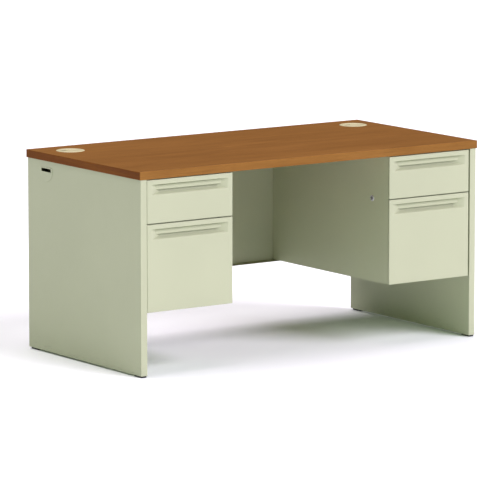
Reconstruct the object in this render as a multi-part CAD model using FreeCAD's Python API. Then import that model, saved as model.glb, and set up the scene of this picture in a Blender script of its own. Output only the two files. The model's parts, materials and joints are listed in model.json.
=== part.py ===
import FreeCAD, Part
import os
from math import sin, cos, radians

# Double-pedestal steel teacher desk. Millimetres, +Z up. The origin is on the floor, in the middle of the
# desk: +X to the sitter's right, +Y to the back. Everything on the right (+X) is drawn once and mirrored
# to the left. The left pedestal hangs close against its end panel and the right one stands off its own, so a
# pedestal's mirrored parts are also shifted. Sheet-metal parts are bent sheets, the worktop is a laminated
# board with a banded edge.

# ---- driving dimensions ----
WIDTH, DEPTH, HEIGHT = 1524.0, 762.0, 749.3      # 60 x 30 x 29.5 inches to the writing surface
TOP_T = 30.0                                     # worktop thickness
LAMINATE_T = 1.0
BAND_T = 3.0                                     # edge banding
BAND_R = 2.0                                     # its eased edges
OVERHANG = 4.5                                   # worktop past the end panels, at the sides
PANEL_T = 26.5                                   # end panel, double wall
PANEL_FRONT, PANEL_REAR = -378.0, 377.5
PANEL_BOTTOM = 6.5
SHEET = 1.2                                      # steel sheet
KNEE = 352.0                                     # inner side of the right pedestal
LEFT_SHIFT = -6.2                                # the left pedestal, from the right one's mirror image
FACE_Y = -379.0                                  # front faces of the drawers
RETURN_Y = 6.0                                   # visible depth of a drawer front's edge
SEAM = 1.5                                       # shadow gap behind a drawer front
SIDE_GAP = 7.0                                   # slot between the right pedestal and its end panel
PED_BOTTOM = 236.0
DRAWER_GAP = 4.0                                 # slot between box drawer and file drawer
SPLIT_Z = 556.5                                  # middle of that slot
CASE_BACK = 190.0                                # rear wall of a pedestal case
CASE_LIP = 5.5                                   # its folded front edges, clear of the slides
RAIL_W, RAIL_H = 22.0, 14.0                      # rails across a case
MODESTY_Y = 371.0                                # front face of the modesty panel
MODESTY_BOTTOM = 231.8
FLANGE = 30.0

# ---- worked out from them ----
TOP_Z = HEIGHT
UNDER = HEIGHT - TOP_T                           # underside of the worktop
PANEL_OUT = WIDTH / 2 - OVERHANG
PANEL_IN = PANEL_OUT - PANEL_T
CASE_OUT = PANEL_IN - SIDE_GAP                   # outer wall of the pedestal case
CASE_FRONT = FACE_Y + RETURN_Y + SEAM
CASE_TOP = UNDER
BOX_FRONT = (SPLIT_Z + DRAWER_GAP / 2, UNDER - 3.3)
FILE_FRONT = (PED_BOTTOM, SPLIT_Z - DRAWER_GAP / 2)

# ---- drawer bodies and slides ----
SLIDE_W = 12.7                                   # side clearance that a slide fills
BODY_X = (KNEE + SHEET + SLIDE_W + 0.2, CASE_OUT - SHEET - SLIDE_W - 0.2)
LINER_BACK = FACE_Y + 24.0                       # rear face of a drawer front
BODY_REAR = 160.0
BODY_SHEET = 1.0
RIM = 7.0                                        # folded-in top edges of the drawer sides
BOX_BODY_Z = (576.0, 690.0)
FILE_BODY_Z = (249.0, 505.0)
BOX_SLIDE_Z, FILE_SLIDE_Z = 625.0, 430.0
SLIDE_Y = (-354.0, 146.0)
SLIDE_SHEET = 1.2
CASE_MEMBER_H, MID_MEMBER_H, DRAWER_MEMBER_H = 45.0, 37.0, 28.0
RETAINER_H, RETAINER_L = 2.4, 120.0

# ---- recessed pulls, in the drawer front's own X and below its top edge ----
PULL_SIDE = 18.0                                 # from the front's edge to the pocket's mouth
PULL_SLANT = 2.0                                 # how far its ends lean in
PULL_TOP, PULL_BOTTOM = 18.0, 54.0               # mouth, below the top edge
PULL_RAMP = 45.0                                 # length of the sloping ends
PULL_DEPTH = 20.0
PULL_TOP_IN, PULL_BOTTOM_IN = 1.5, 8.0           # how far the floor is inside the mouth
LIP_SET, LIP_T, LIP_H, LIP_HEM = 11.0, 1.5, 19.5, 3.5

# ---- grommets, cable ports, locks, glides ----
GROMMET_X, GROMMET_Y = 649.0, 254.0
GROMMET_FLANGE_R, GROMMET_HOLE_R, GROMMET_BORE_R = 53.0, 44.0, 40.5
GROMMET_PROUD = 2.0
CAP_R, CAP_T = 40.0, 3.0
PORT_Y, PORT_Z = 250.0, 685.0                    # middle of the slot in each end panel
PORT_R = 43.0
SLOT_W, SLOT_H = 64.0, 12.0
PORT_WALL, PORT_PROUD = 3.0, 1.4
LOCK_Y, LOCK_Z = -272.0, 551.0
LOCK_R, LOCK_FACE_R, LOCK_PLUG_R = 9.5, 11.5, 6.5
CAM_PIN_OFF, CAM_PIN_R = 9.0, 1.5
CAM_START = -45.0                                # the pin's direction when unlocked, from +Y
PIN_PLAY = 0.6
HOOK_H, CATCH_T = 10.0, 6.0
CATCH_REACH = 3.5                                # how far a drawer's catch stands out from its side
BOX_CATCH_Z, FILE_CATCH_Z = (566.0, 584.0), (497.5, 505.0)
HOOK_BELOW = 4.0                                 # unlocked hooks pass this far under the catches
BOLT_Y, BOLT_Z, BOLT_R = (-250.0, 120.0), (290.0, 525.0), 3.0
GLIDE_Y = (-352.0, 342.0)
GLIDE_HOUSING = (20.0, 48.0)
GLIDE_PAD_R, GLIDE_STEM_R, GLIDE_PAD_T = 9.0, 4.0, 4.0
HOUSING_BOTTOM = 1.2

PARTS = {}


# ---- helpers ----
def block(x0, x1, y0, y1, z0, z1):
    """A box between two corners."""
    return Part.makeBox(x1 - x0, y1 - y0, z1 - z0, FreeCAD.Vector(x0, y0, z0))


def rod(r, p, axis, length):
    """A cylinder from p along axis."""
    return Part.makeCylinder(r, length, FreeCAD.Vector(*p), FreeCAD.Vector(*axis))


def prism(points, move):
    """A solid from a closed outline of 3-D points, pushed along move."""
    wire = Part.makePolygon([FreeCAD.Vector(*p) for p in points + points[:1]])
    return Part.Face(wire).extrude(FreeCAD.Vector(*move))


def fuse(shapes):
    """One solid from touching shapes, with no seams left on flat faces."""
    return shapes[0].multiFuse(shapes[1:]).removeSplitter()


def mirror(shape):
    return shape.mirror(FreeCAD.Vector(0, 0, 0), FreeCAD.Vector(1, 0, 0))


def add(name, *solids):
    PARTS[name] = list(solids)


def add_hung(name, *solids):
    """A part of both pedestals: as drawn on the right, and mirrored and shifted on the left."""
    add("right_" + name, *solids)
    add("left_" + name, *[hang_left(s) for s in solids])


def hang_left(shape):
    return mirror(shape).translated(FreeCAD.Vector(LEFT_SHIFT, 0, 0))


def add_pair(name, *solids):
    """The same part on the right, as drawn, and on the left, mirrored."""
    add("right_" + name, *solids)
    add("left_" + name, *[mirror(s) for s in solids])


# ---- worktop ----
def worktop():
    x, y = WIDTH / 2 - BAND_T, DEPTH / 2 - BAND_T
    core = block(-x, x, -y, y, UNDER, TOP_Z - LAMINATE_T)
    sheet = block(-x, x, -y, y, TOP_Z - LAMINATE_T, TOP_Z)
    for side in (-1, 1):
        hole = rod(GROMMET_HOLE_R, (side * GROMMET_X, GROMMET_Y, UNDER - 1), (0, 0, 1), TOP_T + 2)
        core, sheet = core.cut(hole), sheet.cut(hole)
    add("worktop_core", core)
    add("worktop_laminate", sheet)
    full_x, full_y = WIDTH / 2, DEPTH / 2
    strips = []
    for side in (-1, 1):
        along_front = block(-full_x, full_x, *sorted((side * y, side * full_y)), UNDER, TOP_Z)
        along_side = block(*sorted((side * x, side * full_x)), -y, y, UNDER, TOP_Z)
        strips += [ease(along_front, 1, side * full_y), ease(along_side, 0, side * full_x)]
    add("worktop_edge_band", *strips)


def ease(strip, axis, place):
    """Rounds the two long outer edges of an edge-band strip."""
    edges = []
    for e in strip.Edges:
        at_face = all(abs((v.Point.x, v.Point.y)[axis] - place) < 1e-6 for v in e.Vertexes)
        level = abs(e.Vertexes[0].Point.z - e.Vertexes[-1].Point.z) < 1e-6
        if at_face and level:
            edges.append(e)
    return strip.makeFillet(BAND_R, edges)


# ---- end panels: an outer pan and an inner skin ----
def port_hole():
    """The slot's way through both walls of an end panel."""
    half, rise = SLOT_W / 2 + PORT_WALL, SLOT_H / 2 + PORT_WALL
    return block(PANEL_IN - 5, PANEL_OUT + 5, PORT_Y - half, PORT_Y + half, PORT_Z - rise, PORT_Z + rise)


def end_panels():
    pan = block(PANEL_IN, PANEL_OUT, PANEL_FRONT, PANEL_REAR, PANEL_BOTTOM, UNDER)
    hollow = block(PANEL_IN - 1, PANEL_OUT - SHEET, PANEL_FRONT + SHEET, PANEL_REAR - SHEET,
                   PANEL_BOTTOM + SHEET, UNDER - SHEET)
    pan = pan.cut(hollow).cut(port_hole())
    mid_x = (PANEL_IN + PANEL_OUT) / 2
    for y in GLIDE_Y:
        pan = pan.cut(block(mid_x - GLIDE_HOUSING[0] / 2, mid_x + GLIDE_HOUSING[0] / 2,
                            y - GLIDE_HOUSING[1] / 2, y + GLIDE_HOUSING[1] / 2, 0, PANEL_BOTTOM + 5))
    add_pair("end_panel_outer", pan)
    skin = block(PANEL_IN, PANEL_IN + SHEET, PANEL_FRONT + SHEET, PANEL_REAR - SHEET,
                 PANEL_BOTTOM + SHEET, UNDER - SHEET).cut(port_hole())
    add_pair("end_panel_inner", skin)
    stiffeners = []
    inside = (PANEL_IN + SHEET, PANEL_OUT - SHEET)
    for y in BOLT_Y + (-60.0,):
        bar = block(*inside, y - 20, y + 20, 40.0, 700.0)
        channel_way = block(inside[0] - 1, inside[1] - SHEET, y - 20 + SHEET, y + 20 - SHEET, 39, 701)
        stiffeners.append(bar.cut(channel_way))
    add("end_panel_stiffeners", *stiffeners, *[mirror(s) for s in stiffeners])


def cable_ports():
    """A half-round plastic plate with a slot, and the slot's sleeve through the panel."""
    top = PORT_Z + SLOT_H / 2 + 4.0
    disc = rod(PORT_R, (PANEL_OUT, PORT_Y, PORT_Z), (1, 0, 0), PORT_PROUD)
    plate = disc.cut(block(PANEL_OUT - 1, PANEL_OUT + 5, PORT_Y - 60, PORT_Y + 60, PORT_Z, PORT_Z + 60))
    brow = block(PANEL_OUT, PANEL_OUT + PORT_PROUD, PORT_Y - PORT_R, PORT_Y + PORT_R, PORT_Z, top)
    half, rise = SLOT_W / 2 + PORT_WALL, SLOT_H / 2 + PORT_WALL
    sleeve = block(PANEL_IN, PANEL_OUT, PORT_Y - half, PORT_Y + half, PORT_Z - rise, PORT_Z + rise)
    slot = block(PANEL_IN - 1, PANEL_OUT + 5, PORT_Y - SLOT_W / 2, PORT_Y + SLOT_W / 2,
                 PORT_Z - SLOT_H / 2, PORT_Z + SLOT_H / 2)
    add_pair("cable_port", fuse([plate, brow, sleeve]).cut(slot))


def glides():
    """Nylon housings in the panels' bottom edges, and a levelling glide screwed into each."""
    mid_x = (PANEL_IN + PANEL_OUT) / 2
    half_x, half_y = GLIDE_HOUSING[0] / 2, GLIDE_HOUSING[1] / 2
    housings = []
    for y, name in zip(GLIDE_Y, ("front", "rear")):
        body = block(mid_x - half_x, mid_x + half_x, y - half_y, y + half_y, HOUSING_BOTTOM, 19.0)
        body = body.cut(rod(GLIDE_STEM_R + 0.05, (mid_x, y, 1), (0, 0, 1), 20))
        body = body.cut(rod(GLIDE_PAD_R + 0.4, (mid_x, y, 1), (0, 0, 1), GLIDE_PAD_T - 0.8))
        housings.append(body)
        glide = fuse([rod(GLIDE_PAD_R, (mid_x, y, 0), (0, 0, 1), GLIDE_PAD_T),
                      rod(GLIDE_STEM_R, (mid_x, y, GLIDE_PAD_T), (0, 0, 1), 13)])
        add_pair(name + "_glide", glide)
    add("glide_housings", *housings, *[mirror(s) for s in housings])


# ---- back and rails ----
def modesty_panel():
    x = PANEL_IN - 0.2
    top, y = UNDER, MODESTY_Y
    web = block(-x, x, y, y + SHEET, MODESTY_BOTTOM, top)
    low = block(-x, x, y - FLANGE, y, MODESTY_BOTTOM, MODESTY_BOTTOM + SHEET)
    high = block(-x, x, y - FLANGE, y, top - SHEET, top)
    ends = [block(*sorted((s * x, s * (x - SHEET))), y - 20, y, MODESTY_BOTTOM, top) for s in (-1, 1)]
    notch = block(KNEE - 0.5, KNEE + 20, y - FLANGE - 1, y, top - SHEET - 1, top + 1)
    notches = [notch, hang_left(notch)]
    panel = fuse([web, low, high] + ends)
    for n in notches:
        panel = panel.cut(n)
    add("modesty_panel", panel)


def worktop_supports():
    """A stiffening channel under the worktop across the kneehole, and angle brackets at the back corners."""
    y0, y1, z0 = -150.0, -110.0, UNDER - 22.0
    x0, x1 = -(KNEE - LEFT_SHIFT - 1.0), KNEE - 1.0
    rail_t = 1.5
    rail = block(x0, x1, y0, y1, z0, UNDER)
    rail = rail.cut(block(x0 - 1, x1 + 1, y0 + rail_t, y1 - rail_t, z0 - 1, UNDER - rail_t))
    add("worktop_rail", rail)
    leg, t = 28.0, 2.0
    side = fuse([block(PANEL_IN - t, PANEL_IN, 205, 219, UNDER - leg, UNDER - t),
                 block(PANEL_IN - leg, PANEL_IN, 205, 219, UNDER - t, UNDER)])
    low = UNDER - SHEET
    rear = [fuse([block(x0, x0 + 40, MODESTY_Y - t, MODESTY_Y, low - leg, low - t),
                  block(x0, x0 + 40, MODESTY_Y - leg, MODESTY_Y, low - t, low)]) for x0 in (150.0, 540.0)]
    right = [side] + rear
    add("worktop_brackets", *right, *[mirror(s) for s in right])


def pan_screw(x, y, z, axis, length, head_r=5.0, head_h=2.6, r=2.2):
    """A pan-head screw: its head's seat is at (x, y, z), and its shank runs along axis."""
    back = tuple(-a * head_h for a in axis)
    head = rod(head_r, (x + back[0], y + back[1], z + back[2]), axis, head_h)
    shank = rod(r, (x, y, z), axis, length)
    return fuse([head, shank])


def fasteners():
    up = (0, 0, 1)
    hung = []
    for x in (KNEE + 10, CASE_OUT - 10):
        hung += [pan_screw(x, y, CASE_TOP - SHEET, up, 16) for y in (-300.0, -60.0, 150.0)]
    right = [pan_screw(PANEL_IN - 18, 212, UNDER - 2.0, up, 16)]
    right += [pan_screw(x0 + 20, MODESTY_Y - 18, UNDER - SHEET - 2.0, up, 16) for x0 in (150.0, 540.0)]
    right += [pan_screw(x, -130.0, UNDER - 1.5, up, 16) for x in (60.0, 300.0)]
    for z in (300.0, 475.0, 650.0):
        right += [pan_screw(PANEL_IN - SHEET - 0.2, MODESTY_Y - 12, z, (1, 0, 0), 12)]
    add("screws", *right, *[mirror(s) for s in right], *hung, *[hang_left(s) for s in hung])
    left_bolts = [hang_left(s) for s in hanging_bolts(SIDE_GAP + LEFT_SHIFT)]
    add("pedestal_bolts", *hanging_bolts(SIDE_GAP), *left_bolts)


def hanging_bolts(gap):
    """Bolts from the case into weld nuts in the end panel, with a spacer in the gap between them."""
    bolts = []
    along = (1, 0, 0)
    for y in BOLT_Y:
        for z in BOLT_Z:
            spacer = rod(10.0, (CASE_OUT, y, z), along, gap)
            nut = rod(6.5, (CASE_OUT + gap + SHEET, y, z), along, 5.0)
            hole = rod(BOLT_R + 0.1, (CASE_OUT - 1, y, z), along, 40)
            bolt = pan_screw(CASE_OUT - SHEET, y, z, along, gap + 9.0, 6.0, 3.2, BOLT_R)
            bolts += [spacer.cut(hole), nut.cut(hole), bolt]
    return bolts


# ---- pedestal cases ----
def pedestals():
    x0, x1 = KNEE, CASE_OUT
    lock_hole = rod(LOCK_R + 0.05, (x0 - 5, LOCK_Y, LOCK_Z), (1, 0, 0), 12)
    knee = fuse([
        block(x0, x0 + SHEET, CASE_FRONT, MODESTY_Y, PED_BOTTOM, CASE_TOP),
        block(x0, x0 + CASE_LIP, CASE_FRONT, CASE_FRONT + SHEET, PED_BOTTOM, CASE_TOP),
        block(x0, x0 + 18, CASE_FRONT, MODESTY_Y, PED_BOTTOM, PED_BOTTOM + SHEET),
        block(x0, x0 + 18, CASE_FRONT, MODESTY_Y, CASE_TOP - SHEET, CASE_TOP)]).cut(lock_hole)
    add_hung("pedestal_knee_side", knee)
    case = fuse([
        block(x1 - SHEET, x1, CASE_FRONT, CASE_BACK, PED_BOTTOM, CASE_TOP),
        block(x1 - CASE_LIP, x1, CASE_FRONT, CASE_FRONT + SHEET, PED_BOTTOM, CASE_TOP),
        block(x1 - 18, x1, CASE_FRONT, CASE_BACK, PED_BOTTOM, PED_BOTTOM + SHEET),
        block(x1 - 18, x1, CASE_FRONT, CASE_BACK, CASE_TOP - SHEET, CASE_TOP),
        block(x0 + SHEET, x1, CASE_BACK - SHEET, CASE_BACK, PED_BOTTOM + SHEET, CASE_TOP - SHEET)])
    add_hung("pedestal_case", case)
    z = PED_BOTTOM + SHEET
    inner = (x0 + SHEET, x1 - SHEET)
    floor = fuse([block(*inner, CASE_FRONT + SHEET, CASE_BACK - SHEET, z, z + SHEET),
                  block(*inner, CASE_FRONT + SHEET, CASE_FRONT + 2 * SHEET, z, z + 10),
                  block(*inner, CASE_BACK - 2 * SHEET, CASE_BACK - SHEET, z, z + 15)])
    add_hung("pedestal_bottom", floor)
    front, high = CASE_FRONT + SHEET, CASE_TOP - SHEET - RAIL_H
    places = ((front, high), (front, SPLIT_Z - RAIL_H / 2), (CASE_BACK - SHEET - RAIL_W, high))
    add_hung("pedestal_rails", *[cross_rail(inner, *place) for place in places])


def cross_rail(inner, y, z):
    """A channel across the case, open at the bottom."""
    bar = block(*inner, y, y + RAIL_W, z, z + RAIL_H)
    inside_y = (y + SHEET, y + RAIL_W - SHEET)
    return bar.cut(block(inner[0] - 1, inner[1] + 1, *inside_y, z - 1, z + RAIL_H - SHEET))


# ---- slides ----
def channel(x_web, x_lip, y, z, height):
    """A C-section: its web at x_web, its lips reaching x_lip, centred on z."""
    towards = 1 if x_lip > x_web else -1
    lo, hi = min(x_web, x_lip), max(x_web, x_lip)
    bar = block(lo, hi, y[0], y[1], z - height / 2, z + height / 2)
    a, b = sorted((x_web + towards * SLIDE_SHEET, x_lip + towards * 1.0))
    rise = height / 2 - SLIDE_SHEET
    return bar.cut(block(a, b, y[0] - 1, y[1] + 1, z - rise, z + rise))


def slides():
    """Three-member slides. Each member is a pair, one on each side of the drawer."""
    walls = ((KNEE + SHEET, BODY_X[0], 1), (CASE_OUT - SHEET, BODY_X[1], -1))
    case_members = []
    for level, z in (("box", BOX_SLIDE_Z), ("file", FILE_SLIDE_Z)):
        mids, drawers = [], []
        for wall, body, d in walls:
            case_members.append(channel(wall, wall + d * 9.5, SLIDE_Y, z, CASE_MEMBER_H))
            mid_y = (SLIDE_Y[0] + 4, SLIDE_Y[1] - 16)
            web = body - d * 6.8
            mids.append(channel(web, body - d * 1.0, mid_y, z, MID_MEMBER_H))
            for up in (-1, 1):
                lip = z + up * MID_MEMBER_H / 2
                xs = sorted((web + d * 0.5, web + d * 2.6))
                zs = sorted((lip, lip + up * RETAINER_H))
                mids.append(block(*xs, -80.0, -80.0 + RETAINER_L, *zs))
            drawers.append(channel(body, body - d * 5.4, (SLIDE_Y[0], SLIDE_Y[1] - 4), z, DRAWER_MEMBER_H))
        add_hung(level + "_slide_middle", *mids)
        add_hung(level + "_slide_drawer", *drawers)
    add_hung("slide_case", *case_members)


# ---- drawers ----
def pocket(z_top, grow, extra):
    """The pull's pocket as a solid, grown by a wall thickness and made deeper by extra."""
    x0, x1 = KNEE + PULL_SIDE - grow, CASE_OUT - PULL_SIDE + grow
    top, low = z_top - PULL_TOP + grow, z_top - PULL_BOTTOM - grow
    lean = PULL_SLANT / (PULL_BOTTOM - PULL_TOP)
    slant = lean * (top - low)
    mouth = [(x0, top), (x1, top), (x1 - slant, low), (x0 + slant, low)]
    f_top, f_low = top - PULL_TOP_IN, low + PULL_BOTTOM_IN
    f_slant = lean * (f_top - f_low)
    fx0, fx1 = x0 + PULL_RAMP, x1 - PULL_RAMP
    floor = [(fx0, f_top), (fx1, f_top), (fx1 - f_slant, f_low), (fx0 + f_slant, f_low)]
    wires = []
    for outline, y in ((mouth, FACE_Y), (floor, FACE_Y + PULL_DEPTH + extra)):
        pts = [FreeCAD.Vector(x, y, z) for x, z in outline]
        wires.append(Part.makePolygon(pts + pts[:1]))
    return Part.makeLoft(wires, True, True)


def pull_lip(z_top):
    """The finger lip: a blade that hangs across the pocket between its sloping ends, with a hemmed edge."""
    y, top = FACE_Y + LIP_SET, z_top - PULL_TOP
    x0, x1 = KNEE, CASE_OUT
    roof = block(x0, x1, y, FACE_Y + PULL_DEPTH, top - PULL_TOP_IN - LIP_T, top - PULL_TOP_IN)
    blade = block(x0, x1, y, y + LIP_T, top - LIP_H, top - PULL_TOP_IN)
    hem = block(x0, x1, y, y + LIP_HEM, top - LIP_H, top - LIP_H + LIP_T)
    return fuse([roof, blade, hem]).common(pocket(z_top, 0.0, 0.0))


def drawer_front(z_low, z_top):
    """Face pan with a pressed pocket, the finger lip in it, and the liner behind that closes the front."""
    x0, x1, t = KNEE, CASE_OUT, SHEET
    pan = block(x0, x1, FACE_Y, FACE_Y + RETURN_Y, z_low, z_top)
    pan = pan.cut(block(x0 + t, x1 - t, FACE_Y + t, FACE_Y + RETURN_Y + 1, z_low + t, z_top - t))
    skin = 0.8
    pan = pan.fuse(pocket(z_top, skin, skin)).cut(pocket(z_top, 0.0, 0.0)).removeSplitter()
    y0 = FACE_Y + RETURN_Y
    in_x, low, high = 14.5, z_low + 20.0, z_top - 15.5
    liner = block(x0 + in_x, x1 - in_x, y0, LINER_BACK, low, high)
    liner = liner.cut(block(x0 + in_x + t, x1 - in_x - t, y0 - 1, LINER_BACK - t, low + t, high - t))
    brim = block(x0 + t, x1 - t, y0 - t, y0, z_low + t, z_top - t)
    brim = brim.cut(block(x0 + in_x + t, x1 - in_x - t, y0 - t - 1, y0 + 1, low + t, high - t))
    return [pan, pull_lip(z_top), fuse([liner, brim])]


def drawer_body(z0, z1, rim):
    """An open tray, with its side walls' top edges folded in by rim."""
    t = BODY_SHEET
    x0, x1, y0, y1 = BODY_X[0], BODY_X[1], LINER_BACK, BODY_REAR
    tray = block(x0, x1, y0, y1, z0, z1).cut(block(x0 + t, x1 - t, y0 + t, y1 - t, z0 + t, z1 + 1))
    edges = [block(x0, x0 + rim, y0, y1, z1 - t, z1), block(x1 - rim, x1, y0, y1, z1 - t, z1)]
    return fuse([tray] + edges)


def catch(z):
    """A lug on the drawer's kneehole side, just behind the lock bar."""
    y = LOCK_Y + 15.0 + 2.0
    return block(BODY_X[0] - CATCH_REACH, BODY_X[0], y, y + CATCH_T, *z)


def drawers():
    add_hung("box_drawer_front", *drawer_front(*BOX_FRONT))
    add_hung("file_drawer_front", *drawer_front(*FILE_FRONT))
    add_hung("box_drawer_body", drawer_body(*BOX_BODY_Z, RIM), catch(BOX_CATCH_Z))
    add_hung("file_drawer_body", drawer_body(*FILE_BODY_Z, RIM), catch(FILE_CATCH_Z))
    rails = []
    for x, d in ((BODY_X[0], 1), (BODY_X[1], -1)):
        y0, y1, z = LINER_BACK, BODY_REAR, FILE_BODY_Z[1]
        foot = block(*sorted((x, x + d * RIM)), y0, y1, z, z + 1.2)
        fin = block(*sorted((x + d * 4, x + d * 5.6)), y0, y1, z + 1.2, z + 11)
        rails.append(fuse([foot, fin]))
    add_hung("file_hang_rails", *rails)
    add_hung("pencil_tray", pencil_tray())


def pencil_tray():
    """A moulded tray that hangs on the box drawer's folded rims and slides along them."""
    x0, x1 = BODY_X[0] + 9.0, BODY_X[1] - 9.0
    y0, depth, z1 = LINER_BACK + 4.0, 120.0, BOX_BODY_Z[1] + 0.1
    tray = block(x0, x1, y0, y0 + depth, z1 - 24, z1 + 2)
    cells = [(0.0, 0.56, 0.0, 0.33), (0.0, 0.56, 0.33, 0.66), (0.0, 0.56, 0.66, 1.0),
             (0.56, 0.78, 0.0, 1.0), (0.78, 1.0, 0.0, 1.0)]
    wall, w = 1.6, x1 - x0
    for a, b, c, d in cells:
        cell_x = (x0 + a * w + wall, x0 + b * w - wall / 2)
        cell_y = (y0 + c * depth + wall, y0 + d * depth - wall / 2)
        tray = tray.cut(block(*cell_x, *cell_y, z1 - 24 + wall, z1 + 3))
    ears = [block(x0 - 7, x0, y0, y0 + depth, z1, z1 + 2), block(x1, x1 + 7, y0, y0 + depth, z1, z1 + 2)]
    return fuse([tray] + ears)


# ---- grommets in the worktop ----
def grommets():
    x, y = GROMMET_X, GROMMET_Y
    sleeve = rod(GROMMET_HOLE_R - 0.1, (x, y, UNDER + 4), (0, 0, 1), TOP_Z - UNDER - 4)
    flange = rod(GROMMET_FLANGE_R, (x, y, TOP_Z), (0, 0, 1), GROMMET_PROUD)
    bore = rod(GROMMET_BORE_R, (x, y, TOP_Z + GROMMET_PROUD - CAP_T), (0, 0, 1), CAP_T + 1)
    throat = rod(GROMMET_BORE_R - 2.5, (x, y, UNDER), (0, 0, 1), TOP_T + 5)
    ring = fuse([sleeve, flange]).cut(bore).cut(throat)
    add_pair("grommet_ring", ring)
    z = TOP_Z + GROMMET_PROUD - CAP_T + 0.1
    cap = rod(CAP_R, (x, y, z), (0, 0, 1), CAP_T)
    notch = block(x - CAP_R - 1, x - CAP_R + 16, y - 9, y + 9, z - 1, z + CAP_T + 1)
    round_end = rod(9.0, (x - CAP_R + 16, y, z - 1), (0, 0, 1), CAP_T + 2)
    cap = cap.cut(notch).cut(round_end)
    add("right_grommet_cap", cap)
    add("left_grommet_cap", cap.translated(FreeCAD.Vector(-2 * GROMMET_X, 0, 0)))


# ---- pedestal locks ----
def locks():
    """Cylinder in the pedestal's kneehole side. The plug's cam pin lifts a short bar between the drawers."""
    x0 = KNEE
    axis = (1, 0, 0)
    body = fuse([rod(LOCK_FACE_R, (x0 - 2.5, LOCK_Y, LOCK_Z), axis, 2.5),
                 rod(LOCK_R, (x0, LOCK_Y, LOCK_Z), axis, 6.5)])
    body = body.cut(rod(LOCK_PLUG_R + 0.05, (x0 - 4, LOCK_Y, LOCK_Z), axis, 15))
    add_hung("lock_cylinder", body)
    plug = rod(LOCK_PLUG_R, (x0 - 2.9, LOCK_Y, LOCK_Z), axis, 9.6)
    keyway = block(x0 - 4, x0 - 0.5, LOCK_Y - 1.0, LOCK_Y + 1.0, LOCK_Z - 4.0, LOCK_Z + 4.0)
    cam_x = x0 + 6.7
    start = radians(CAM_START)
    pin_y, pin_z = LOCK_Y + CAM_PIN_OFF * cos(start), LOCK_Z + CAM_PIN_OFF * sin(start)
    cam = fuse([rod(LOCK_PLUG_R, (cam_x, LOCK_Y, LOCK_Z), axis, 1.5),
                rod(3.0, (cam_x, pin_y, pin_z), axis, 1.5), cam_arm(cam_x, start)])
    pin = rod(CAM_PIN_R, (cam_x, pin_y, pin_z), axis, 3.8)
    add_hung("lock_plug", fuse([plug.cut(keyway), cam, pin]))
    add_hung("lock_bar", lock_bar(cam_x + 1.8, pin_y, pin_z))


def lock_bar(x, pin_y, pin_z):
    """A flat bar with a slot for the cam's pin, and a hook for each drawer's catch."""
    y = (LOCK_Y + 1.0, LOCK_Y + 15.0)
    box_hook = BOX_CATCH_Z[0] - HOOK_BELOW
    file_hook = FILE_CATCH_Z[0] - HOOK_BELOW
    bar = block(x, x + 1.6, *y, file_hook - HOOK_H, box_hook)
    hooks = [block(x + 1.6, x + 4.0, y[1] - 5.0, y[1], top - HOOK_H, top) for top in (box_hook, file_hook)]
    reach = CAM_PIN_R + PIN_PLAY
    slot = block(x - 1, x + 6, pin_y - reach, LOCK_Y + CAM_PIN_OFF + reach, pin_z - reach, pin_z + reach)
    return fuse([bar] + hooks).cut(slot)


def cam_arm(x, turn):
    """The straight arm of the cam, from the plug's middle to the pin."""
    half = 3.0
    u, v = (cos(turn), sin(turn)), (-sin(turn), cos(turn))
    pts = []
    for along, across in ((0, -half), (CAM_PIN_OFF, -half), (CAM_PIN_OFF, half), (0, half)):
        pts.append((x, LOCK_Y + along * u[0] + across * v[0], LOCK_Z + along * u[1] + across * v[1]))
    return prism(pts, (1.5, 0, 0))


def drill(fastener_nodes, drilled_nodes):
    """Cuts a clearance hole for every fastener in each sheet or board that it passes through."""
    shanks = [s for name in fastener_nodes for s in PARTS[name]]
    for name in drilled_nodes:
        drilled = []
        for solid in PARTS[name]:
            for shank in shanks:
                if solid.BoundBox.intersect(shank.BoundBox) and solid.common(shank).Volume > 1e-6:
                    solid = solid.cut(clearance(shank))
            drilled.append(solid)
        PARTS[name] = drilled


def clearance(screw):
    """The screw's shank, a little fatter. Its axis is its thinnest cylinder's."""
    faces = [f.Surface for f in screw.Faces if f.Surface.TypeId == "Part::GeomCylinder"]
    core = min(faces, key=lambda f: f.Radius)
    box = screw.BoundBox
    reach = max(box.XLength, box.YLength, box.ZLength)
    start = core.Center - core.Axis * 2 * reach
    hole = Part.makeCylinder(core.Radius + 0.1, 4 * reach, start, core.Axis)
    return hole.common(Part.makeBox(box.XLength + 1, box.YLength + 1, box.ZLength + 1,
                                    FreeCAD.Vector(box.XMin - 0.5, box.YMin - 0.5, box.ZMin - 0.5)))


def export():
    os.makedirs("parts", exist_ok=True)
    for old in os.listdir("parts"):
        os.remove(os.path.join("parts", old))
    for name, solids in sorted(PARTS.items()):
        for s in solids:
            if not s.isValid() or s.Volume <= 0 or len(s.Solids) != 1:
                print("CHECK", name, "valid", s.isValid(), "volume", round(s.Volume, 1))
        pieces = [piece for s in solids for piece in s.Solids]
        shape = pieces[0] if len(pieces) == 1 else Part.makeCompound(pieces)
        shape.exportStep(os.path.join("parts", name + ".step"))
    print(len(PARTS), "nodes,", sum(len(p) for p in PARTS.values()), "solids")


worktop()
end_panels()
cable_ports()
glides()
modesty_panel()
worktop_supports()
fasteners()
pedestals()
slides()
drawers()
grommets()
locks()
drill(["screws"], ["worktop_core", "worktop_brackets", "worktop_rail", "modesty_panel",
                   "right_end_panel_inner", "left_end_panel_inner", "right_pedestal_knee_side",
                   "left_pedestal_knee_side", "right_pedestal_case", "left_pedestal_case"])
drill(["pedestal_bolts"], ["right_end_panel_inner", "left_end_panel_inner",
                           "right_pedestal_case", "left_pedestal_case"])
export()
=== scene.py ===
import json
import math

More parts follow.
